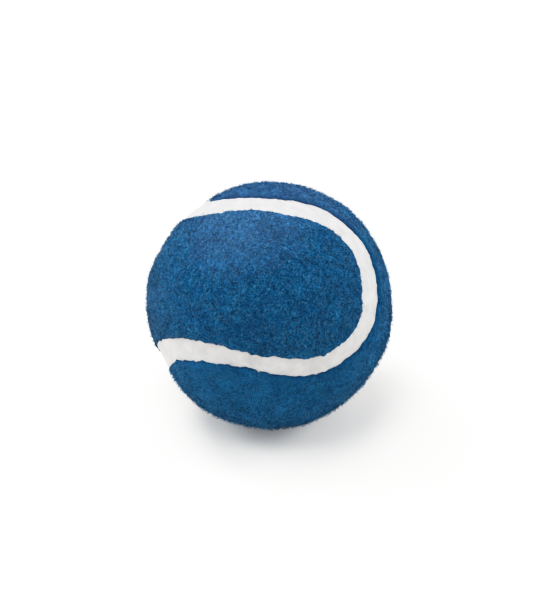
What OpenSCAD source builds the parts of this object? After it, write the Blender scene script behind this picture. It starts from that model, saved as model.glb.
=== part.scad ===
// A felt-covered rubber ball: a hollow core moulded in two halves, an adhesive coat over it, two shaped felt
// panels and the seam of white compound that fills the gap between them. Millimetres, +Z up, with the origin at
// the ball's centre.
//
// The seam's centre line is four circular arcs on a sphere, each round the axis of one lobe, joined so smoothly
// that no corner shows. The larger lobes belong to panel A and the smaller ones to panel B. In the figure's own
// axes, before it is turned, panel A's lobes lie on X and lean down, and panel B's lie on Y and lean up.

/* [Ball] */
// Diameter over the felt
ball_d = 65; // [60:0.5:70]
// Thickness of the felt
felt_t = 2.9; // [2.4:0.1:3.4]
// Radius of the felt's rounded edge beside the seam
felt_edge_r = 1.3; // [0.6:0.1:1.8]

/* [Seam] */
// Width of the seam, along the ball's surface
seam_w = 6.2; // [4:0.2:8]
// Depth of the seam's face below the felt's surface
seam_depth = 1.1; // [0.6:0.1:1.8]
// Angular radius of panel A's lobes, to the seam's centre line, in degrees
lobe_angle_a = 50; // [46:0.5:54]
// How far panel A's lobes lean away from its waist, in degrees
lean_a = 3.3; // [2:0.1:8]
// How far panel B's lobes lean away from its waist, in degrees
lean_b = 11.5; // [8:0.5:14]
// Turn of the seam figure about X, in degrees
turn_angle_x = -102.8; // [-180:0.1:180]
// Then its turn about Y, in degrees
turn_angle_y = 44.5; // [-90:0.1:90]
// Then its turn about Z, in degrees
turn_angle_z = -104; // [-180:0.1:180]

/* [Core] */
// Thickness of the rubber wall
core_wall = 3.4; // [2.6:0.1:4.4]
// Thickness of the adhesive coat between the rubber and the felt
coat_t = 0.2; // [0.1:0.05:0.4]
// Thickness of the cement ring that joins the two halves of the core
joint_t = 0.3; // [0.1:0.05:0.5]

/* [Hidden] */
$fn = 96;

// Straight steps that round the felt's edge
EDGE_STEPS = 6;

// Radii of the ball's layers, from the outside in
ball_r = ball_d / 2;
seam_face_r = ball_r - seam_depth;
coat_r = ball_r - felt_t;
core_r = coat_r - coat_t;
cavity_r = core_r - core_wall;

// How far cuts run past what they cut, and how far from the ball's centre that takes them
overrun = 1;
reach = ball_r + overrun;

// Half the seam's width as an angle, and how far the felt's rounding reaches from its edge, as an angle
half_seam = seam_w / ball_d * 180 / PI;
edge_lay = asin(felt_edge_r / (ball_r - felt_edge_r));

// Hair's step where a lobe's edge runs into the waist's, as an angle
ledge_angle = 0.05;

// Angle between the axes of two neighbouring lobes, which their two radii share
lobe_pitch = acos(-sin(lean_a) * sin(lean_b));
lobe_angle_b = lobe_pitch - lobe_angle_a;

// A point of a section, at a radius and an angle from the section's axis
function polar(radius, angle) = [radius * sin(angle), radius * cos(angle)];

// Axis of a panel's lobe (lobes 0 and 2) or of the other panel's (1 and 3), counted about Z
function lobe_axis(i, lean, next_lean) =
    let (rise = i % 2 == 0 ? -lean : next_lean)
    [cos(90 * i) * cos(rise), sin(90 * i) * cos(rise), sin(rise)];

// A felt edge's rounding, from the wall beside the seam to the felt's surface. Side is 1 where the felt lies
// towards the section's axis and -1 where it lies away from it
function edge_points(edge, side) =
    let (middle = polar(ball_r - felt_edge_r, edge - side * edge_lay))
    [for (i = [0:EDGE_STEPS])
        middle + polar(felt_edge_r, edge + side * (90 - (90 + edge_lay) * i / EDGE_STEPS))];

// A layer of the ball between two radii
module layer(outer_r, inner_r) {
    difference() {
        sphere(outer_r);
        sphere(inner_r);
    }
}

// Section of a plug round a lobe's axis, from inside the core to past the felt. Its side is a cone whose tip is
// the ball's centre, up to the points given, which end at the angle top_edge
module plug_section(edge, side_points, top_edge) {
    polygon(concat([[0, core_r * cos(edge)], polar(core_r, edge)], side_points,
                   [polar(reach, top_edge), [reach * sin(top_edge), reach], [0, reach]]));
}

// A plug with the rounding of a felt edge: the felt's own (side 1), or the one that it meets from within (side -1)
module felt_plug(edge, side) {
    rotate_extrude() plug_section(edge, edge_points(edge, side), edge - side * edge_lay);
}

// A plug with a plain side
module plain_plug(edge) {
    rotate_extrude() plug_section(edge, [], edge);
}

// Places something on the axes of a panel's two lobes
module on_lobes(lean) {
    for (side = [0, 180]) rotate([0, 0, side]) rotate([0, 90 + lean, 0]) children();
}

// Swaps one panel's axes for the other's, which lie upside down and a quarter turn round
module other_panel() {
    rotate([0, 0, 90]) rotate([180, 0, 0]) children();
}

// Space on a panel's side of the four planes that join the axes of neighbouring lobes
module waist_space(lean, next_lean) {
    rim = [for (i = [0:3]) 2 * reach * lobe_axis(i, lean, next_lean)];
    polyhedron(points = concat([[0, 0, 0]], rim, [for (p = rim) [p.x, p.y, reach]]),
               faces = concat([for (i = [0:3]) [0, 1 + i, 1 + (i + 1) % 4]],
                              [for (i = [0:3]) [1 + i, 5 + i, 5 + (i + 1) % 4, 1 + (i + 1) % 4]],
                              [[8, 7, 6, 5]]));
}

// One felt panel: its waist on top, and the two lobes that hang from it
module felt_panel(lean, lobe, next_lean, next_lobe) {
    difference() {
        layer(ball_r, coat_r);
        other_panel() on_lobes(next_lean) felt_plug(next_lobe + half_seam, -1);
        difference() {
            other_panel() waist_space(next_lean, lean);
            on_lobes(lean) felt_plug(lobe - half_seam - ledge_angle, 1);
        }
    }
}

// Space that a felt panel takes from the layer it shares with the seam
module panel_space(lean, lobe, next_lean, next_lobe) {
    difference() {
        waist_space(lean, next_lean);
        other_panel() on_lobes(next_lean) plain_plug(next_lobe + half_seam);
    }
    on_lobes(lean) plain_plug(lobe - half_seam - ledge_angle);
}

// Turns the seam figure to the way the ball lies
module as_it_lies() {
    rotate([turn_angle_x, turn_angle_y, turn_angle_z]) children();
}

// Upper half of the core: a rubber bowl with a flat rim
module core_half() {
    intersection() {
        layer(core_r, cavity_r);
        translate([-reach, -reach, joint_t / 2]) cube([2 * reach, 2 * reach, reach]);
    }
}

module core_half_upper() {
    color("dimgray") core_half();
}

module core_half_lower() {
    color("gray") mirror([0, 0, 1]) core_half();
}

// Ring of cement between the two rims
module core_joint_cement() {
    color("khaki") intersection() {
        layer(core_r, cavity_r);
        cube([2 * reach, 2 * reach, joint_t], center = true);
    }
}

// Adhesive that the core is dipped in before the felt goes on
module core_adhesive_coat() {
    color("wheat") layer(coat_r, core_r);
}

module felt_panel_a() {
    color("steelblue") as_it_lies() felt_panel(lean_a, lobe_angle_a, lean_b, lobe_angle_b);
}

module felt_panel_b() {
    color("royalblue") as_it_lies() other_panel() felt_panel(lean_b, lobe_angle_b, lean_a, lobe_angle_a);
}

// White compound that fills the gap between the panels
module seam_cement() {
    color("whitesmoke") as_it_lies() difference() {
        layer(seam_face_r, coat_r);
        panel_space(lean_a, lobe_angle_a, lean_b, lobe_angle_b);
        other_panel() panel_space(lean_b, lobe_angle_b, lean_a, lobe_angle_a);
    }
}

core_half_upper();
core_half_lower();
core_joint_cement();
core_adhesive_coat();
felt_panel_a();
felt_panel_b();
seam_cement();
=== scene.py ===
"""Looks of a felt-covered ball: two napped blue felt panels, the white seam between them and the core inside.

All sizes are in millimetres until a mesh is made, and in metres in Blender. The felt and the seam are meshes
on one geodesic grid, cut along the same seam figure as the construction. The nap is short fibres of mesh on
the felt.
"""

import math
from collections import namedtuple

import bpy
import numpy as np
from mathutils import Euler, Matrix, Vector


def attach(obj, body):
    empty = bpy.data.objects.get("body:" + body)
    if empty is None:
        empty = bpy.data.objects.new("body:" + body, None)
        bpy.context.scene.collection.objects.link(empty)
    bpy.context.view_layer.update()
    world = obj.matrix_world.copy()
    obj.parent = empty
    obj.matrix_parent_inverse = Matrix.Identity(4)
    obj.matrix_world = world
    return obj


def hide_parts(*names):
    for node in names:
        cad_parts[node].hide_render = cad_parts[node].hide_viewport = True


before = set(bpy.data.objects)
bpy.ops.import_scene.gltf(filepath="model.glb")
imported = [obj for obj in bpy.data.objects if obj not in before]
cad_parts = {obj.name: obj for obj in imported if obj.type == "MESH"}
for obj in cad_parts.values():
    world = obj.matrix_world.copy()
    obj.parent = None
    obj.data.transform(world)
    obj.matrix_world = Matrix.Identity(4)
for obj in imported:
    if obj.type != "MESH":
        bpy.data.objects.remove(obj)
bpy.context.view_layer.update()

MM = 0.001
RNG = np.random.default_rng(26)


# Sizes


def node_radii(node):
    """Smallest and largest distance of a node's surface from the ball's centre, in millimetres."""
    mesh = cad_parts[node].data
    points = np.empty(len(mesh.vertices) * 3, np.float32)
    mesh.vertices.foreach_get("co", points)
    far = np.linalg.norm(points.reshape(-1, 3), axis=1) / MM
    return float(far.min()), float(far.max())


# The frame's radii of the felt's underside and surface, and of the seam's face
COAT_R, BALL_R = node_radii("felt_panel_a")
SEAM_FACE_R = node_radii("seam_cement")[1]

# The seam figure, as the construction has it: panel A's lobes, both pairs' lean and the turn, in degrees
LOBE_A = 50.0
LEAN_A = 3.3
LEAN_B = 11.5
FIGURE_TURN = (-102.8, 44.5, -104.0)
SEAM_W = 6.2
# Steps along each of the centre line's four arcs
LINE_STEPS = 200

# Where each felt edge is trimmed: (how far along the seam, how far back from the figure, over what reach), in
# millimetres. The photograph doesn't show the seam between 45 and 205 mm, so no trim is there
TRIMS_A = (
    (5, -0.8, 8), (26, -0.4, 3), (42, 0.8, 2.5), (208, 3.0, 4), (216, -0.5, 3), (231, 0.4, 5),
    (246, 0.7, 5), (265, 1.3, 5), (283, 0.9, 5), (297, -0.4, 4), (307, -0.75, 5),
)
TRIMS_B = (
    (7, -1.6, 6.5), (35, 0.4, 6), (219, 0.8, 5), (236, -0.6, 5), (250, 0.7, 6),
    (263, 0.3, 6), (275, 0.9, 5), (289, -0.8, 6), (302, -0.4, 4), (312, 0.4, 4),
)
# Where the white compound was laid on higher, in the same way
SEAM_FILLS = ((208, 0.5, 7),)
# Bumps and dips that the photograph shows on the ball's outline: (degrees round it, height in millimetres),
# and how far each reaches
OUTLINE_BUMPS = (
    (0, -0.5), (30, -0.3), (45, 0.3), (123, -0.5), (136, 0.4), (150, -0.8), (165, 0.7),
    (180, -0.3), (210, -0.5), (225, -0.3), (245, 0.4), (255, -0.2), (285, 0.3), (330, -0.2), (345, 0.6),
)
BUMP_REACH = 6.0

# Radius of the felt's edge
FELT_EDGE_R = 1.3
# How far the felt's ground lies under the ball's radius. The nap fills it
NAP_DEPTH = 0.2
# Lumps of the felt, of its edge's course, of the nicks in that and of the seam: (size, how far they rise)
FELT_LUMPS = ((15.0, 0.16), (6.0, 0.1), (2.2, 0.09), (1.0, 0.07))
EDGE_WOBBLE = ((4.0, 0.22), (1.8, 0.28), (0.9, 0.22))
EDGE_NICKS = ((2.6, 1.2), (1.1, 1.1))
SEAM_LUMPS = ((9.0, 0.08), (3.0, 0.05), (1.2, 0.03))
# Share of the felt's lumps that is left at its very edge
EDGE_LUMPS_SHARE = 0.25
# How far the seam reaches under the felt
SEAM_TUCK = 0.12
# How high it climbs at the felt, over what reach, and how deep it sags between
SEAM_CLIMB = 0.16
CLIMB_REACH = 0.5
SEAM_SAG = 0.05

# Steps along one edge of the geodesic grid's twenty faces, and how near the seam's middle it is twice as fine
GRID_STEPS = 76
FINE_REACH = 6.6
# A point nearer to a border than this share of the fine pitch is moved onto it
SNAP_SHARE = 0.56
# Over what distance from the felt's border its points crowd towards it, and how strongly
CROWD_REACH = 3.2
CROWD_POWER = 1.5
# Rows of faces down the side walls of the felt and of the seam
FELT_WALL_ROWS = 3
SEAM_WALL_ROWS = 2

# The photograph's camera: its elevation in degrees, its distance in ball radii, the picture and the ball's
# outline in pixels, and the sensor's height in millimetres
CAMERA_ELEVATION = 32.0
CAMERA_RADII = 14.0
PHOTO_W, PHOTO_H = 540, 610
PHOTO_BALL_R, PHOTO_BALL_X, PHOTO_BALL_Y = 122.9, 269.4, 304.6
SENSOR = 36.0

# Noise fields: their seeds, the length of their table, how far apart their layers lie, and what brings their
# heights to about 1
SEED_A, SEED_B, SEED_LUMPS, SEED_SWIRL, SEED_NICKS, SEED_SEAM = 3, 7, 11, 17, 23, 29
NOISE_TABLE = 256
LAYER_STEP = 40.0
NOISE_GAIN = 1.6


# Noise and the seam figure


def unit(vectors):
    """Rows of vectors, each made 1 long."""
    return vectors / np.linalg.norm(vectors, axis=1)[:, None]


def lattice_noise(points, seed):
    """Smooth gradient noise from about -1 to 1 at points (n, 3), one lump to a unit."""
    table = np.random.default_rng(seed)
    order = table.permutation(NOISE_TABLE)
    order = np.concatenate([order, order])
    slopes = unit(table.normal(size=(NOISE_TABLE, 3)))
    cell = np.floor(points).astype(int)
    inside = points - cell
    mask = NOISE_TABLE - 1
    ease = inside**3 * (inside * (inside * 6 - 15) + 10)
    total = np.zeros(len(points))
    for corner in range(8):
        step = np.array([corner & 1, corner >> 1 & 1, corner >> 2])
        x, y, z = ((cell + step) & mask).T
        slope = slopes[order[order[order[x] + y] + z]]
        weight = np.prod(np.where(step, ease, 1 - ease), axis=1)
        total += weight * np.sum(slope * (inside - step), axis=1)
    return total * NOISE_GAIN


def layered_noise(points, layers, seed, power=1):
    """Sum of noise fields, each (size of a lump, height). A higher power leaves only the sharp lumps."""
    total = np.zeros(len(points))
    for i, (size, height) in enumerate(layers):
        total += height * lattice_noise(points / size + LAYER_STEP * (i + 1), seed + i) ** power
    return total


def seam_figure():
    """The four lobe axes as rows, the figure's turn as a matrix, and the two pairs' radii in radians."""
    a, b = math.radians(LEAN_A), math.radians(LEAN_B)
    pitch = math.acos(-math.sin(a) * math.sin(b))
    radius_a = math.radians(LOBE_A)
    axes = np.array([
        (math.cos(a), 0, -math.sin(a)), (0, math.cos(b), math.sin(b)),
        (-math.cos(a), 0, -math.sin(a)), (0, -math.cos(b), math.sin(b)),
    ])
    turn = np.array(Euler([math.radians(t) for t in FIGURE_TURN], "XYZ").to_matrix())
    return axes @ turn.T, turn, radius_a, pitch - radius_a


AXES, FIGURE, RADIUS_A, RADIUS_B = seam_figure()


def seam_field(u):
    """For directions u: the angle from the seam's centre line, above 0 on panel A, and the tangent along
    which it grows."""
    own = u @ FIGURE
    lobe_axes = AXES @ FIGURE
    on_waist_side = np.full(len(u), -np.inf)
    for i in range(4):
        one, other = lobe_axes[i], lobe_axes[(i + 1) % 4]
        side = np.cross(one, other)
        between = (own @ np.cross(side, one) >= 0) & (own @ np.cross(other, side) >= 0)
        quadrant = between & (own @ (one * (1, 1, 0) + other * (1, 1, 0)) >= 0)
        on_waist_side[quadrant] = (own @ side)[quadrant]
    lost = ~np.isfinite(on_waist_side)
    on_waist_side[lost] = own[lost, 2]
    above = on_waist_side > 0
    cosines = u @ AXES.T
    near_b = np.where(cosines[:, 1] > cosines[:, 3], 1, 3)
    near_a = np.where(cosines[:, 0] > cosines[:, 2], 0, 2)
    near = np.where(above, near_b, near_a)
    cosine = np.clip(cosines[np.arange(len(u)), near], -1, 1)
    angle = np.arccos(cosine)
    away = u * cosine[:, None] - AXES[near]
    away /= np.maximum(np.linalg.norm(away, axis=1), 1e-9)[:, None]
    field = np.where(above, angle - RADIUS_B, RADIUS_A - angle)
    return field, np.where(above[:, None], away, -away)


def seam_line():
    """Directions along the seam's centre line, and how far along it they lie, in millimetres."""
    radii = (RADIUS_A, RADIUS_B) * 2
    joins = []
    for i in range(4):
        towards = AXES[(i + 1) % 4] - AXES[i] * (AXES[i] @ AXES[(i + 1) % 4])
        joins.append(math.cos(radii[i]) * AXES[i] + math.sin(radii[i]) * towards / np.linalg.norm(towards))
    line = []
    for i in range(4):
        middle = AXES[i] * math.cos(radii[i])
        across = joins[i - 1] - middle
        along = np.cross(AXES[i], across)
        angle = math.atan2((joins[i] - middle) @ along, (joins[i] - middle) @ across)
        whole = angle % math.tau if i % 2 == 0 else -(-angle % math.tau)
        turn = np.linspace(0, whole, LINE_STEPS, endpoint=False)[:, None]
        line.append(middle + across * np.cos(turn) + along * np.sin(turn))
    line = np.concatenate(line + [line[0][:1]])
    steps = np.linalg.norm(np.diff(line, axis=0), axis=1)
    return line, np.concatenate([[0], np.cumsum(steps)]) * BALL_R


SEAM_LINE, SEAM_PLACES = seam_line()


def moved(u, tangent, angle):
    """Directions u turned by an angle each, along their tangents."""
    return u * np.cos(angle)[:, None] + tangent * np.sin(angle)[:, None]


def seam_spots(u, spots):
    """Sum at directions u of spots: (how far along the seam, height, reach) in millimetres."""
    total = np.zeros(len(u))
    for place, height, reach in spots:
        middle = np.array([np.interp(place, SEAM_PLACES, SEAM_LINE[:, k]) for k in range(3)])
        total += height * np.exp((u @ middle / np.linalg.norm(middle) - 1) * (BALL_R / reach) ** 2)
    return total


def edge_distance(u, side):
    """Millimetres from a felt edge into panel A (side 1) or panel B (side -1), and the tangent that way."""
    field, tangent = seam_field(u)
    foot = moved(u, tangent, -field)
    back = seam_spots(foot, TRIMS_A if side > 0 else TRIMS_B)
    back += layered_noise(foot * BALL_R, EDGE_WOBBLE, SEED_A if side > 0 else SEED_B)
    back += layered_noise(foot * BALL_R, EDGE_NICKS, SEED_NICKS + side, power=3)
    return side * field * BALL_R - SEAM_W / 2 - back, side * tangent


# Meshes


def geodesic(steps):
    """Unit vectors and triangles of a sphere with each of an icosahedron's faces cut into steps squared."""
    golden = (1 + math.sqrt(5)) / 2
    corners = unit(np.array([
        (-1, golden, 0), (1, golden, 0), (-1, -golden, 0), (1, -golden, 0), (0, -1, golden), (0, 1, golden),
        (0, -1, -golden), (0, 1, -golden), (golden, 0, -1), (golden, 0, 1), (-golden, 0, -1), (-golden, 0, 1),
    ], float))
    faces = np.array([
        (0, 11, 5), (0, 5, 1), (0, 1, 7), (0, 7, 10), (0, 10, 11), (1, 5, 9), (5, 11, 4), (11, 10, 2),
        (10, 7, 6), (7, 1, 8), (3, 9, 4), (3, 4, 2), (3, 2, 6), (3, 6, 8), (3, 8, 9), (4, 9, 5), (2, 4, 11),
        (6, 2, 10), (8, 6, 7), (9, 8, 1),
    ])
    rows = [(i, j) for i in range(steps + 1) for j in range(steps + 1 - i)]
    index = {place: k for k, place in enumerate(rows)}
    shares = np.array([(steps - i - j, i, j) for i, j in rows]) / steps
    small = []
    for i, j in rows:
        if i + j < steps:
            small.append((index[i, j], index[i + 1, j], index[i, j + 1]))
        if i + j < steps - 1:
            small.append((index[i + 1, j], index[i + 1, j + 1], index[i, j + 1]))
    small = np.array(small)
    # Shares bent a little, so that the triangles at a face's middle and at its corners come out alike
    edge_angle = math.atan(2)
    bent = np.sin(shares * edge_angle) / math.sin(edge_angle)
    points = np.concatenate([bent @ corners[f] for f in faces])
    triangles = np.concatenate([small + k * len(rows) for k in range(len(faces))])
    points = unit(points)
    _, first, back = np.unique(np.round(points, 7), axis=0, return_index=True, return_inverse=True)
    return points[first], back.reshape(-1)[triangles]


def refined(u, triangles, chosen):
    """The grid with the chosen triangles cut in four, and their neighbours so that every edge still meets."""
    count = len(u)
    ends = np.sort(np.stack([triangles, np.roll(triangles, -1, axis=1)], 2), axis=2)
    codes = ends[..., 0] * count + ends[..., 1]
    cut = np.unique(codes[chosen])
    middles = unit(u[cut // count] + u[cut % count])
    place = np.searchsorted(cut, codes)
    has = cut[np.minimum(place, len(cut) - 1)] == codes
    halves = np.where(has, place + count, -1)
    total = has.sum(axis=1)
    out = [triangles[total == 0]]
    # Turned so that the one cut edge comes first, or the one uncut edge last
    first = np.where(total == 1, has.argmax(axis=1), np.where(total == 2, (~has).argmax(axis=1) + 1, 0)) % 3
    order = (first[:, None] + np.arange(3)) % 3
    corner = np.take_along_axis(triangles, order, 1)
    half = np.take_along_axis(halves, order, 1)
    a, b, c = corner.T
    ab, bc, ca = half.T
    for number, pieces in ((1, ((a, ab, c), (ab, b, c))),
                           (2, ((a, ab, c), (ab, b, bc), (ab, bc, c))),
                           (3, ((a, ab, ca), (ab, b, bc), (ca, bc, c), (ab, bc, ca)))):
        out += [np.stack(piece, 1)[total == number] for piece in pieces]
    return np.concatenate([u, middles]), np.concatenate(out)


def ball_grid():
    """The geodesic grid, twice as fine by the seam, and each point's share of the coarse pitch."""
    u, triangles = geodesic(GRID_STEPS)
    pitch = math.sqrt(4 * math.pi * BALL_R**2 / len(triangles) * 4 / math.sqrt(3))
    by_seam = np.abs(seam_field(unit(u[triangles].sum(axis=1)))[0]) * BALL_R < FINE_REACH
    u, triangles = refined(u, triangles, by_seam)
    return u, triangles, pitch / 2


GRID_U, GRID_F, FINE_PITCH = ball_grid()


def outline_relief(u):
    """The bumps and dips of the ball's outline in the photograph, which fade away from it."""
    elevation = math.radians(CAMERA_ELEVATION)
    towards = np.array([0, -math.cos(elevation), math.sin(elevation)])
    upward = np.array([0, math.sin(elevation), math.cos(elevation)])
    angle, height = np.array(OUTLINE_BUMPS).T
    around = np.radians(angle)[:, None]
    lean = 1 / CAMERA_RADII
    ring = (np.array([1, 0, 0]) * np.cos(around) + upward * np.sin(around)) * math.sqrt(1 - lean**2)
    return np.exp((u @ (towards * lean + ring).T - 1) * (BALL_R / BUMP_REACH) ** 2) @ height


def felt_height(u, depth):
    """Radius of the felt's surface at directions u that lie depth millimetres inside the felt's edge."""
    inside = np.clip(depth / FELT_EDGE_R, 0, 1)
    rounding = FELT_EDGE_R * (np.sqrt(1 - (1 - inside) ** 2) - 1)
    relief = layered_noise(u * BALL_R, FELT_LUMPS, SEED_LUMPS) + outline_relief(u)
    return BALL_R - NAP_DEPTH + rounding + relief * np.clip(EDGE_LUMPS_SHARE + depth / FELT_EDGE_R, 0, 1)


def cut_grid(depth_of, crowd):
    """The grid's part where depth_of(u) is above 0: its directions, depths and triangles, with its border
    moved onto the line of depth 0. With crowd, points gather towards the border, where the shape turns."""
    depth, tangent = depth_of(GRID_U)
    near = np.abs(depth) < SNAP_SHARE * FINE_PITCH
    u = np.where(near[:, None], moved(GRID_U, tangent, -depth / BALL_R), GRID_U)
    depth = np.where(near, 0.0, depth)
    if crowd:
        close = (depth > 0) & (depth < CROWD_REACH)
        wanted = CROWD_REACH * (np.clip(depth, 0, CROWD_REACH) / CROWD_REACH) ** CROWD_POWER
        shift = np.where(close, wanted - depth, 0.0)
        u = moved(u, tangent, shift / BALL_R)
        depth = depth + shift
    kept = GRID_F[(depth[GRID_F] > 0).any(axis=1)]
    used, triangles = np.unique(kept, return_inverse=True)
    return u[used], np.maximum(depth[used], 0), triangles.reshape(-1, 3)


def closed_shell(u, top_r, triangles, wall_rows, bottom_r):
    """Points and triangles of a closed solid: its top, a wall down from the top's border, its underside."""
    count = len(u)
    ends = np.concatenate([triangles[:, [0, 1]], triangles[:, [1, 2]], triangles[:, [2, 0]]])
    codes = ends[:, 0].astype(np.int64) * count + ends[:, 1]
    back = ends[:, 1].astype(np.int64) * count + ends[:, 0]
    border = ends[~np.isin(codes, back)]
    rim = np.unique(border)
    place = np.full(count, -1)
    place[rim] = np.arange(len(rim))
    levels = [top_r[rim] + (bottom_r - top_r[rim]) * k / wall_rows for k in range(1, wall_rows)]
    points = [u * top_r[:, None], u * bottom_r]
    points += [u[rim] * level[:, None] for level in levels]
    faces = [triangles, triangles[:, ::-1] + count]
    tiers = [place[border] + 2 * count + k * len(rim) for k in range(wall_rows - 1)]
    tiers = [border, *tiers, border + count]
    for upper, lower in zip(tiers, tiers[1:]):
        faces.append(np.stack([upper[:, 1], upper[:, 0], lower[:, 0]], 1))
        faces.append(np.stack([upper[:, 1], lower[:, 0], lower[:, 1]], 1))
    return np.concatenate(points), np.concatenate(faces)


def make_mesh(name, points, faces):
    """A smooth-shaded mesh object from points in millimetres and triangles."""
    mesh = bpy.data.meshes.new(name)
    mesh.vertices.add(len(points))
    mesh.vertices.foreach_set("co", (points * MM).astype(np.float32).ravel())
    mesh.loops.add(len(faces) * 3)
    mesh.loops.foreach_set("vertex_index", faces.astype(np.int32).ravel())
    mesh.polygons.add(len(faces))
    mesh.polygons.foreach_set("loop_start", np.arange(0, len(faces) * 3, 3, dtype=np.int32))
    mesh.polygons.foreach_set("use_smooth", np.full(len(faces), True))
    mesh.update(calc_edges=True)
    piece = bpy.data.objects.new(name, mesh)
    bpy.context.scene.collection.objects.link(piece)
    return piece


def mark_edge(piece, depth, reach):
    """Gives a mesh's points their share of the felt edge's darkening, painted shade of the recess at the seam
    with the cut edge's own darker colour, which fades over reach into the felt.
    """
    shares = np.exp(-np.maximum(depth, 0) / reach).astype(np.float32)
    piece.data.attributes.new("edge", "FLOAT", "POINT").data.foreach_set("value", shares)


def felt_panel(name, side, edge_shade):
    """One felt panel as a closed mesh, and its cloth's flat width, length and area in metres, as the seam
    figure has them half-way through the felt."""
    u, depth, triangles = cut_grid(lambda v: edge_distance(v, side), crowd=True)
    points, faces = closed_shell(u, felt_height(u, depth), triangles, FELT_WALL_ROWS, COAT_R)
    panel = make_mesh(name, points, faces)
    # Painted shade, with the cut edge's own darker colour, towards the felt's edge
    mark_edge(panel, np.concatenate([depth, np.zeros(len(points) - len(u))]), edge_shade)
    cloth_r = (BALL_R + COAT_R) / 2 * MM
    lobe = (RADIUS_A if side > 0 else RADIUS_B) - SEAM_W / 2 / BALL_R
    length = math.pi + 2 * math.radians(LEAN_A if side > 0 else LEAN_B) + 2 * lobe
    a, b, c = u[triangles].transpose(1, 0, 2)
    area = np.linalg.norm(np.cross(b - a, c - a), axis=1).sum() / 2 * cloth_r**2
    return panel, (2 * lobe * cloth_r, length * cloth_r, area)


def seam_depth(u):
    """Millimetres from the nearer edge of the seam towards its middle, a little under the felt's edges."""
    to_a, tangent_a = edge_distance(u, 1)
    to_b, tangent_b = edge_distance(u, -1)
    nearer_a = to_a > to_b
    return SEAM_TUCK - np.where(nearer_a, to_a, to_b), -np.where(nearer_a[:, None], tangent_a, tangent_b)


def seam_band(name):
    """The white seam as a closed mesh: it sags between the felt's edges and climbs a little at each."""
    u, depth, triangles = cut_grid(seam_depth, crowd=False)
    sag = SEAM_CLIMB * np.exp(-depth / CLIMB_REACH) - SEAM_SAG
    top = SEAM_FACE_R + sag + layered_noise(u * BALL_R, SEAM_LUMPS, SEED_SEAM) + seam_spots(u, SEAM_FILLS)
    points, faces = closed_shell(u, top, triangles, SEAM_WALL_ROWS, COAT_R)
    return make_mesh(name, points, faces)


# Fibres

# Fibres for panel A in each shade of nap, their length, rise and thickness, and the least and greatest shares
# of these that a fibre has
FIBRES = 19000
FIBRE_LENGTH = 0.95
FIBRE_RISE = 0.15
FIBRE_WIDTH = 0.13
LENGTH_SHARES = (0.55, 1.35)
RISE_SHARES = (0.3, 1.3)
WIDTH_SHARES = (0.7, 1.3)
# No root lies nearer to the felt's edge than this
ROOT_MARGIN = 0.1
# At the edge a fibre is this share of its length, and over this distance it gains as much as a whole length
SHORT_SHARE = 0.3
SHORT_REACH = 1.5
# How deep the roots are sunk into the felt
ROOT_SINK = 0.12
# Share of the fibres that stand up, how high, as shares of their length, and the share of it that they keep
STANDING_SHARE = 0.4
STANDING_LIFT = (0.1, 0.75)
STANDING_LENGTH_SHARE = 0.75
# No fibre stands up nearer to the felt's edge than this
EDGE_BALD = 0.9
# Fibres run in swirls: the swirls' size, how far they turn, how far each fibre strays from them, and its curl
SWIRL_SIZE = 7.0
SWIRL_TURN = 1.4 * math.pi
STRAY = 0.8
CURL = 0.3
# A direction from which the swirls' angles are counted
SWIRL_ZERO = (0.3, -0.5, 0.8)
# At a fibre's root, middle and tip: the share of its length, of its lift (below 0, of its sink), of its curl
FIBRE_BENDS = ((0.0, -0.6, 0.0), (0.5, 0.95, 0.45), (1.0, 0.7, 1.2))
# Share of its thickness at its root and middle. The tip is a point
FIBRE_TAPERS = (1.0, 0.8)


def fibre_roots(side, count):
    """Random directions on a panel's felt, and how deep inside its edge they lie."""
    picked = []
    while sum(len(p) for p in picked) < count:
        u = unit(RNG.normal(size=(count, 3)))
        picked.append(u[edge_distance(u, side)[0] > ROOT_MARGIN])
    u = np.concatenate(picked)[:count]
    return u, edge_distance(u, side)[0]


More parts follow.
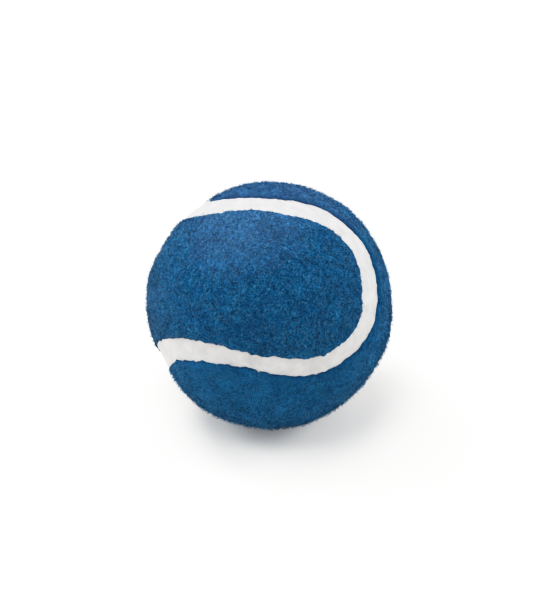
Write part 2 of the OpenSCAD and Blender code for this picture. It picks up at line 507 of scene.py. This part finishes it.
def fibre_mesh(name, side, count, edge_shade):
    """Closed three-sided needles that lie on a panel's felt and curl up a little."""
    u, depth = fibre_roots(side, count)
    swirl = SWIRL_TURN * lattice_noise(u * BALL_R / SWIRL_SIZE, SEED_SWIRL) + RNG.normal(0, STRAY, count)
    flat = unit(np.cross(u, np.array(SWIRL_ZERO)))
    other = np.cross(u, flat)
    along = flat * np.cos(swirl)[:, None] + other * np.sin(swirl)[:, None]
    across = np.cross(u, along)
    long = FIBRE_LENGTH * RNG.uniform(*LENGTH_SHARES, count)
    long *= np.clip(SHORT_SHARE + depth / SHORT_REACH, 0, 1)
    curl = RNG.normal(0, CURL, count)
    stands = (RNG.random(count) < STANDING_SHARE) & (depth > EDGE_BALD)
    lift = FIBRE_RISE * RNG.uniform(*RISE_SHARES, count)
    lift = np.where(stands, lift + long * RNG.uniform(*STANDING_LIFT, count), lift)
    long = np.where(stands, long * STANDING_LENGTH_SHARE, long)
    centres = []
    for share, height, bend in FIBRE_BENDS:
        tip = moved(u, along, long * share / BALL_R)
        tip = unit(tip + across * (bend * curl * long / BALL_R)[:, None])
        ground_depth = edge_distance(tip, side)[0]
        ground = felt_height(tip, np.maximum(ground_depth, 0))
        top = ground + np.where(height < 0, height * ROOT_SINK, lift * height)
        centres.append(tip * top[:, None])
    thick = FIBRE_WIDTH * RNG.uniform(*WIDTH_SHARES, count)
    rings = []
    for centre, taper in zip(centres, FIBRE_TAPERS):
        for k in range(3):
            angle = 2 * math.pi * k / 3
            offset = across * math.cos(angle) + u * math.sin(angle)
            rings.append(centre + offset * (thick * taper / 2)[:, None])
    rings.append(centres[-1])
    points = np.stack(rings, 1).reshape(-1, 3)
    per = len(rings)
    faces = [(0, 1, 2)]
    for row in range(len(FIBRE_TAPERS) - 1):
        for k in range(3):
            a, b = row * 3 + k, row * 3 + (k + 1) % 3
            faces += [(a, a + 3, b), (b, a + 3, b + 3)]
    last = 3 * (len(FIBRE_TAPERS) - 1)
    faces += [(last + k, per - 1, last + (k + 1) % 3) for k in range(3)]
    faces = (np.array(faces)[None] + per * np.arange(count)[:, None, None]).reshape(-1, 3)
    fibres = make_mesh(name, points, faces)
    # Painted shade, with the cut edge's own darker colour, towards the felt's edge
    mark_edge(fibres, np.repeat(depth, per), edge_shade)
    return fibres


# Materials


class Shader:
    """A material's node tree with a Principled shader, and short ways to add nodes to it."""

    def __init__(self, name, **values):
        """A new material. Values are set on the sockets of these names."""
        self.material = bpy.data.materials.new(name)
        self.material.use_nodes = True
        self.nodes = self.material.node_tree.nodes
        self.links = self.material.node_tree.links
        self.surface = next(n for n in self.nodes if n.type == "BSDF_PRINCIPLED")
        for socket, value in values.items():
            self.surface.inputs[socket.replace("_", " ")].default_value = value
        self.place = self.nodes.new("ShaderNodeTexCoord").outputs["Object"]

    def feed(self, socket, value):
        """Links a node's input to a socket, or sets it to a colour or a number."""
        if isinstance(value, bpy.types.NodeSocket):
            self.links.new(value, socket)
        elif isinstance(value, tuple):
            socket.default_value = (*value, 1.0)
        else:
            socket.default_value = value

    def mapped(self, value, **ends):
        """A value moved from one range to another, whose ends are given by their sockets' names."""
        node = self.nodes.new("ShaderNodeMapRange")
        for end, number in ends.items():
            node.inputs[end.replace("_", " ")].default_value = number
        self.links.new(value, node.inputs["Value"])
        return node.outputs["Result"]

    def vector(self, operation, a, b=None, result="Vector"):
        """Arithmetic on a vector, alone or with another."""
        node = self.nodes.new("ShaderNodeVectorMath")
        node.operation = operation
        self.links.new(a, node.inputs[0])
        if isinstance(b, bpy.types.NodeSocket):
            self.links.new(b, node.inputs[1])
        elif b is not None:
            node.inputs[1].default_value = b
        return node.outputs[result]

    def noise(self, size_mm, detail=3.0, rough=0.5, distortion=0.0, place=None, result="Fac"):
        """Noise with lumps of about this size, at a place on the piece or at the surface's own."""
        node = self.nodes.new("ShaderNodeTexNoise")
        node.inputs["Scale"].default_value = 1 / (size_mm * MM)
        node.inputs["Detail"].default_value = detail
        node.inputs["Roughness"].default_value = rough
        node.inputs["Distortion"].default_value = distortion
        self.links.new(place or self.place, node.inputs["Vector"])
        return node.outputs[result]

    def bent_place(self, size_mm, amount_mm):
        """The surface's place, pushed about by a noise, so that what follows runs in swirls."""
        push = self.vector("SUBTRACT", self.noise(size_mm, detail=2.0, result="Color"), (0.5, 0.5, 0.5))
        return self.vector("ADD", self.place, self.vector("MULTIPLY", push, (amount_mm * MM,) * 3))

    def cap(self, towards, low, high):
        """0 up to a height along a direction, in ball radii, and 1 from a higher one."""
        height = self.vector("DOT_PRODUCT", self.place, towards, result="Value")
        return self.mapped(height, From_Min=low * BALL_R * MM, From_Max=high * BALL_R * MM)

    def edge_dark_and_shade(self, colour):
        """A felt colour, darkened towards the felt's edge: painted shade of the recess at the seam, with the
        cut edge's own darker colour.
        """
        edge = self.nodes.new("ShaderNodeAttribute")
        edge.attribute_name = "edge"
        shade = self.ramp(edge.outputs["Fac"], ((0.0, (1.0, 1.0, 1.0)), (1.0, EDGE_DARK_AND_SHADE)))
        return self.mix(1.0, colour, shade, "MULTIPLY")

    def ramp(self, value, stops):
        """A value turned into colours: each stop is (value, colour)."""
        node = self.nodes.new("ShaderNodeValToRGB")
        ramp = node.color_ramp
        while len(ramp.elements) < len(stops):
            ramp.elements.new(0.5)
        for element, (at, colour) in zip(ramp.elements, stops):
            element.position = at
            element.color = (*colour, 1.0)
        self.links.new(value, node.inputs["Fac"])
        return node.outputs["Color"]

    def mix(self, factor, a, b, blend="MIX"):
        """Two colours blended."""
        node = self.nodes.new("ShaderNodeMix")
        node.data_type = "RGBA"
        node.blend_type = blend
        for socket, value in (("Factor", factor), ("A", a), ("B", b)):
            self.feed(node.inputs[socket], value)
        return node.outputs["Result"]

    def math(self, operation, a, b):
        """Arithmetic on two values."""
        node = self.nodes.new("ShaderNodeMath")
        node.operation = operation
        for socket, value in zip(node.inputs, (a, b)):
            self.feed(socket, value)
        return node.outputs[0]

    def colour(self, value):
        """Sets the surface's colour."""
        self.links.new(value, self.surface.inputs["Base Color"])

    def roughness(self, value, low, high):
        """Sets the surface's roughness between two ends."""
        self.links.new(self.mapped(value, To_Min=low, To_Max=high), self.surface.inputs["Roughness"])

    def bump(self, value, height_mm, strength):
        """Sets the surface's fine relief."""
        node = self.nodes.new("ShaderNodeBump")
        node.inputs["Strength"].default_value = strength
        node.inputs["Distance"].default_value = height_mm * MM
        self.links.new(value, node.inputs["Height"])
        self.links.new(node.outputs["Normal"], self.surface.inputs["Normal"])


# The felt's dark, middle and light tones, those of the nap's pale and deep fibres, where on their noise they
# lie, and the least that dyeing leaves of a colour
FELT_COLOURS = ((0.001, 0.027, 0.076), (0.006, 0.068, 0.15), (0.062, 0.14, 0.25))
PALE_COLOURS = ((0.01, 0.08, 0.167), (0.092, 0.182, 0.3))
DEEP_COLOURS = ((0.001, 0.023, 0.07), (0.007, 0.073, 0.158))
FELT_STOPS = (0.36, 0.5, 0.66)
FIBRE_STOPS = (0.35, 0.65)
LEAST_COLOUR = 0.001
# What the felt's colour is multiplied by at its edge: painted shade of the recess at the seam, with the cut
# edge's own darker colour
EDGE_DARK_AND_SHADE = (0.45, 0.5, 0.55)
# Shares of the fine strands and of the tangle that they lie in
STRANDS_SHARE, TANGLE_SHARE = 0.6, 0.4

# For each panel: its letter, its side of the seam, its share of FIBRES, its dye, how far its tones lie apart,
# the painted highlight added to its colour on the patch that faces the lamps overhead, which way that patch
# faces, between which heights it sets in, in ball radii, and how far the felt edge's darkening (painted
# shade, with the cut edge's own darker colour) reaches, in millimetres
Cloth = namedtuple("Cloth", "letter side share dye spread faded faces heights edge_shade")
CLOTHS = (
    Cloth(letter="a", side=1, share=1.0, dye=(0.46, 1.21, 1.26), spread=0.4, faded=(0.016, 0.001, 0.001),
          faces=(0.0, 0.0, 1.0), heights=(0.62, 0.88), edge_shade=0.75),
    Cloth(letter="b", side=-1, share=0.78, dye=(0.71, 1.09, 1.09), spread=1.2, faded=(0.021, 0.024, 0.038),
          faces=(-0.2, -0.2, 0.96), heights=(0.8, 0.97), edge_shade=0.45),
)


def dyed(colours, cloth):
    """Colours tinted by a cloth's dye, and set apart by its spread."""
    middle = np.mean(colours, axis=0)
    spread = [middle + cloth.spread * (np.array(colour) - middle) for colour in colours]
    return [tuple(np.maximum(colour * cloth.dye, LEAST_COLOUR)) for colour in spread]


def wool_shader(name):
    """A shader with the soft sheen of wool."""
    return Shader(name, Sheen_Weight=0.18, Sheen_Roughness=0.25, Sheen_Tint=(0.75, 0.86, 1.0, 1.0),
                  Specular_IOR_Level=0.02)


def felt_material(name, cloth):
    """Matted wool: fine swirled fibres, soft blotches, a sheen towards the edges of the view, a painted
    highlight on the patch that faces the lamps overhead, and painted shade with the cut edge's own darker
    colour towards the felt's edge.
    """
    s = wool_shader(name)
    swirled = s.bent_place(2.6, 2.2)
    fibres = s.noise(0.42, detail=4.0, rough=0.62, distortion=0.6, place=swirled)
    tangle = s.noise(1.1, detail=3.0, rough=0.6, distortion=1.2, place=swirled)
    blotches = s.noise(5.5, detail=2.0)
    blend = s.math("ADD", s.math("MULTIPLY", fibres, STRANDS_SHARE), s.math("MULTIPLY", tangle, TANGLE_SHARE))
    colour = s.ramp(blend, tuple(zip(FELT_STOPS, dyed(FELT_COLOURS, cloth))))
    tone = s.ramp(blotches, ((0.35, (0.8, 0.84, 0.88)), (0.65, (1.12, 1.1, 1.06))))
    # Painted shade of the recess at the seam, with the cut edge's own darker colour, towards the felt's edge
    colour = s.edge_dark_and_shade(s.mix(1.0, colour, tone, "MULTIPLY"))
    # Painted highlight: a paler colour added on the patch that faces the lamps overhead
    s.colour(s.mix(s.cap(cloth.faces, *cloth.heights), colour, cloth.faded, "ADD"))
    s.roughness(fibres, 0.58, 0.72)
    s.bump(blend, height_mm=0.35, strength=0.9)
    return s.material


def fibre_material(name, colours, cloth):
    """Loose fibres of the nap, with a painted highlight on the patch that faces the lamps overhead."""
    s = wool_shader(name)
    grain = s.noise(0.55, detail=2.0, rough=0.6)
    # Painted shade of the recess at the seam, with the cut edge's own darker colour, towards the felt's edge
    colour = s.edge_dark_and_shade(s.ramp(grain, tuple(zip(FIBRE_STOPS, dyed(colours, cloth)))))
    # Painted highlight: a paler colour added on the patch that faces the lamps overhead
    s.colour(s.mix(s.cap(cloth.faces, *cloth.heights), colour, cloth.faded, "ADD"))
    s.roughness(grain, 0.52, 0.66)
    return s.material


def seam_material():
    """White vulcanised compound, matt, with faint clouds and a fine grain."""
    s = Shader("white_compound", Specular_IOR_Level=0.35)
    clouds = s.noise(3.0, detail=4.0, rough=0.65)
    grain = s.noise(0.35, detail=2.0)
    s.colour(s.ramp(clouds, ((0.3, (0.37, 0.37, 0.371)), (0.7, (0.51, 0.509, 0.51)))))
    s.roughness(clouds, 0.5, 0.68)
    s.bump(s.math("ADD", grain, s.math("MULTIPLY", clouds, 2.0)), height_mm=0.05, strength=0.6)
    return s.material


def rubber_material():
    """Moulded core rubber, with pale filler specks and a chalky bloom."""
    s = Shader("core_rubber", Specular_IOR_Level=0.4)
    bloom = s.noise(7.0, detail=4.0, rough=0.6)
    specks = s.noise(0.5, detail=1.0)
    base = s.ramp(bloom, ((0.3, (0.045, 0.045, 0.048)), (0.7, (0.1, 0.098, 0.095))))
    spots = s.ramp(specks, ((0.66, (0.0, 0.0, 0.0)), (0.74, (1.0, 1.0, 1.0))))
    s.colour(s.mix(spots, base, (0.24, 0.235, 0.22)))
    s.roughness(bloom, 0.55, 0.8)
    s.bump(s.math("ADD", specks, bloom), height_mm=0.06, strength=0.5)
    return s.material


def cement_material(name, dark, light, brush_mm):
    """Dried rubber cement with brush marks and small bubbles."""
    s = Shader(name, Specular_IOR_Level=0.5)
    strokes = s.noise(brush_mm, detail=4.0, rough=0.6, distortion=2.5)
    bubbles = s.noise(0.8, detail=2.0)
    s.colour(s.ramp(strokes, ((0.3, dark), (0.7, light))))
    s.roughness(strokes, 0.3, 0.55)
    s.bump(s.math("ADD", strokes, s.math("MULTIPLY", bubbles, 0.4)), height_mm=0.08, strength=0.6)
    return s.material


def wear(piece, material):
    """Gives a piece one material."""
    piece.data.materials.clear()
    piece.data.materials.append(material)


# Pieces


def dress_core():
    """Gives the core's pieces, which stay the frame's own, their materials."""
    rubber = rubber_material()
    for node in ("core_half_upper", "core_half_lower"):
        wear(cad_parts[node], rubber)
    joint = cement_material("joint_cement", (0.42, 0.27, 0.1), (0.62, 0.44, 0.2), brush_mm=3.0)
    wear(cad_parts["core_joint_cement"], joint)
    coat = cement_material("adhesive_coat", (0.5, 0.38, 0.18), (0.72, 0.6, 0.36), brush_mm=6.0)
    wear(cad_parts["core_adhesive_coat"], coat)


def settle(piece, slot, *nodes):
    """Ties a piece to the ball's one body and hides the frame's nodes that it stands for. The slot is not
    used.
    """
    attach(piece, "root")
    if nodes:
        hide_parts(*nodes)


def make_ball():
    """The two panels with their nap, and the seam."""
    for cloth in CLOTHS:
        letter = cloth.letter
        panel, (width, length, area) = felt_panel(f"felt_{letter}", cloth.side, cloth.edge_shade)
        wear(panel, felt_material(f"blue_felt_{letter}", cloth))
        settle(panel, "blue_felt", f"felt_panel_{letter}")
        for shade, colours in (("pale", PALE_COLOURS), ("deep", DEEP_COLOURS)):
            count = int(FIBRES * cloth.share)
            fibres = fibre_mesh(f"nap_{letter}_{shade}", cloth.side, count, cloth.edge_shade)
            wear(fibres, fibre_material(f"{shade}_fibres_{letter}", colours, cloth))
            settle(fibres, "blue_felt")
    seam = seam_band("seam_band")
    wear(seam, seam_material())
    settle(seam, "white_seam", "seam_cement")


# Camera, floor and light

CLIP_START = 0.01
WORLD_LIGHT = 0.7
WHITE = (1.0, 1.0, 1.0, 1.0)
# Half the floor's width, in metres, and its colour, a little warm
FLOOR_HALF = 1.5
FLOOR_WHITE = (0.945, 0.92, 0.885, 1.0)
# The floor's glow grows from the near distance to the far one, in metres: in the photograph it turns white
FLOOR_GLOW = 0.08
FAR_GLOW = 1.0
GLOW_NEAR, GLOW_FAR = 0.3, 0.9
# Round lamps that face the ball: name, place in metres, width and power
SOFT_BOXES = (
    ("top_box", (-0.05, 0.0, 0.7), 0.4, 3.35),
    ("front_box", (-0.15, -0.3, 0.62), 0.3, 2.5),
    ("key_box", (-0.32, 0.2, 0.6), 0.25, 2.8),
    ("left_box", (-0.65, 0.1, 0.3), 0.45, 3.6),
    ("right_box", (0.65, 0.1, 0.3), 0.45, 4.8),
    ("back_box", (0.1, 0.65, 0.4), 0.4, 0.4),
    ("low_box", (0.25, -0.65, 0.16), 0.3, 0.5),
)
# Under 1, it deepens the dark tones
PICTURE_GAMMA = 0.8
# Tones over the knee are rounded off towards white, which the span over it leads to
TONE_KNEE = 0.45
TONE_SPAN = 0.58
TONE_WHITEST = 2.7
TONE_POINTS = 9
# The tone curve of all three colours together
ALL_COLOURS = 3


def make_camera():
    """The photograph's view: the ball's outline has the radius and the middle that it has there."""
    data = bpy.data.cameras.new("camera")
    data.sensor_fit = "VERTICAL"
    data.sensor_height = SENSOR
    away = CAMERA_RADII * BALL_R * MM
    outline = 1 / math.sqrt(CAMERA_RADII**2 - 1)
    data.lens = PHOTO_BALL_R / outline * SENSOR / PHOTO_H
    data.shift_x = (PHOTO_W / 2 - PHOTO_BALL_X) / PHOTO_H
    data.shift_y = (PHOTO_BALL_Y - PHOTO_H / 2) / PHOTO_H
    data.clip_start = CLIP_START
    camera = bpy.data.objects.new("camera", data)
    elevation = math.radians(CAMERA_ELEVATION)
    camera.location = (0, -math.cos(elevation) * away, math.sin(elevation) * away)
    camera.rotation_euler = (math.pi / 2 - elevation, 0, 0)
    bpy.context.scene.collection.objects.link(camera)
    bpy.context.scene.camera = camera


def make_floor():
    """A wide pale floor under the ball."""
    mesh = bpy.data.meshes.new("floor")
    level = -BALL_R * MM
    corners = ((-1, -1), (1, -1), (1, 1), (-1, 1))
    mesh.from_pydata([(x * FLOOR_HALF, y * FLOOR_HALF, level) for x, y in corners], [], [(0, 1, 2, 3)])
    floor = bpy.data.objects.new("floor", mesh)
    bpy.context.scene.collection.objects.link(floor)
    s = Shader("studio_floor", Roughness=1.0, Specular_IOR_Level=0.0, Base_Color=FLOOR_WHITE,
               Emission_Color=WHITE)
    far = s.vector("LENGTH", s.place, result="Value")
    glow = s.mapped(far, From_Min=GLOW_NEAR, From_Max=GLOW_FAR, To_Min=FLOOR_GLOW, To_Max=FAR_GLOW)
    s.links.new(glow, s.surface.inputs["Emission Strength"])
    wear(floor, s.material)


def make_light():
    """A white tent, with soft boxes overhead, at both sides, in front and behind."""
    world = bpy.data.worlds.new("studio")
    world.use_nodes = True
    back = world.node_tree.nodes["Background"]
    back.inputs["Color"].default_value = WHITE
    back.inputs["Strength"].default_value = WORLD_LIGHT
    bpy.context.scene.world = world
    for name, place, size, power in SOFT_BOXES:
        data = bpy.data.lights.new(name, "AREA")
        data.shape = "DISK"
        data.size = size
        data.energy = power
        lamp = bpy.data.objects.new(name, data)
        lamp.location = place
        lamp.rotation_euler = (-Vector(place)).to_track_quat("-Z", "Y").to_euler()
        bpy.context.scene.collection.objects.link(lamp)


def make_tones():
    """The picture's tones: a straight line up to the knee, and a shoulder over it."""
    view = bpy.context.scene.view_settings
    view.view_transform = "Standard"
    view.gamma = PICTURE_GAMMA
    view.use_curve_mapping = True
    tones = view.curve_mapping
    tones.white_level = (TONE_WHITEST,) * 3
    curve = tones.curves[ALL_COLOURS]
    for i in range(TONE_POINTS):
        light = TONE_KNEE + (TONE_WHITEST - TONE_KNEE) * (i / TONE_POINTS) ** 2
        tone = TONE_KNEE + TONE_SPAN * (1 - math.exp((TONE_KNEE - light) / TONE_SPAN))
        curve.points.new(light / TONE_WHITEST, min(tone, 1.0))
    tones.update()


def main():
    """Builds the scene."""
    make_tones()
    make_camera()
    make_floor()
    make_light()
    dress_core()
    make_ball()


main()
